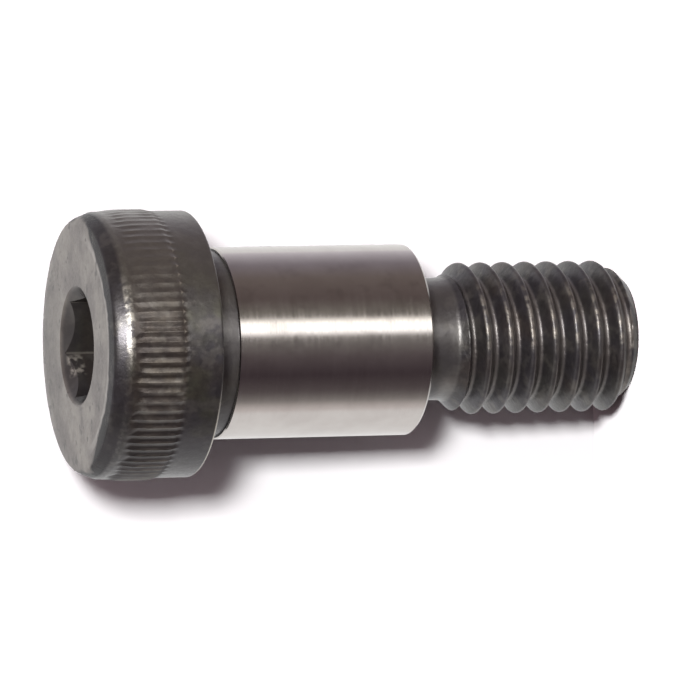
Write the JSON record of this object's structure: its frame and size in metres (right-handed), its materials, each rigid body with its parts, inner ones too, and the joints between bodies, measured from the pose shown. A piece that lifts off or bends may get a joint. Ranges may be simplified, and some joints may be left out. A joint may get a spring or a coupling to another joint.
{
  "type": "shoulder bolt",
  "caption": "Steel shoulder bolt with a round knurled head, hexagon socket, ground shoulder and short coarse thread.",
  "frame": {"origin": "centre of the seat face, the ring at the thread end of the shoulder", "axes": "+Z along the bolt's axis towards the head, so the bolt stands on its tip; +X and +Y square to the axis"},
  "size_m": [0.0222, 0.0222, 0.0473],
  "materials": {
    "oxide_steel": "Black oxide on the head, necks and thread, worn grey on the head's face, with the shoulder ground bright after blackening."
  },
  "bodies": {
    "root": {"shoulder_bolt": "oxide_steel"}
  },
  "joints": []
}
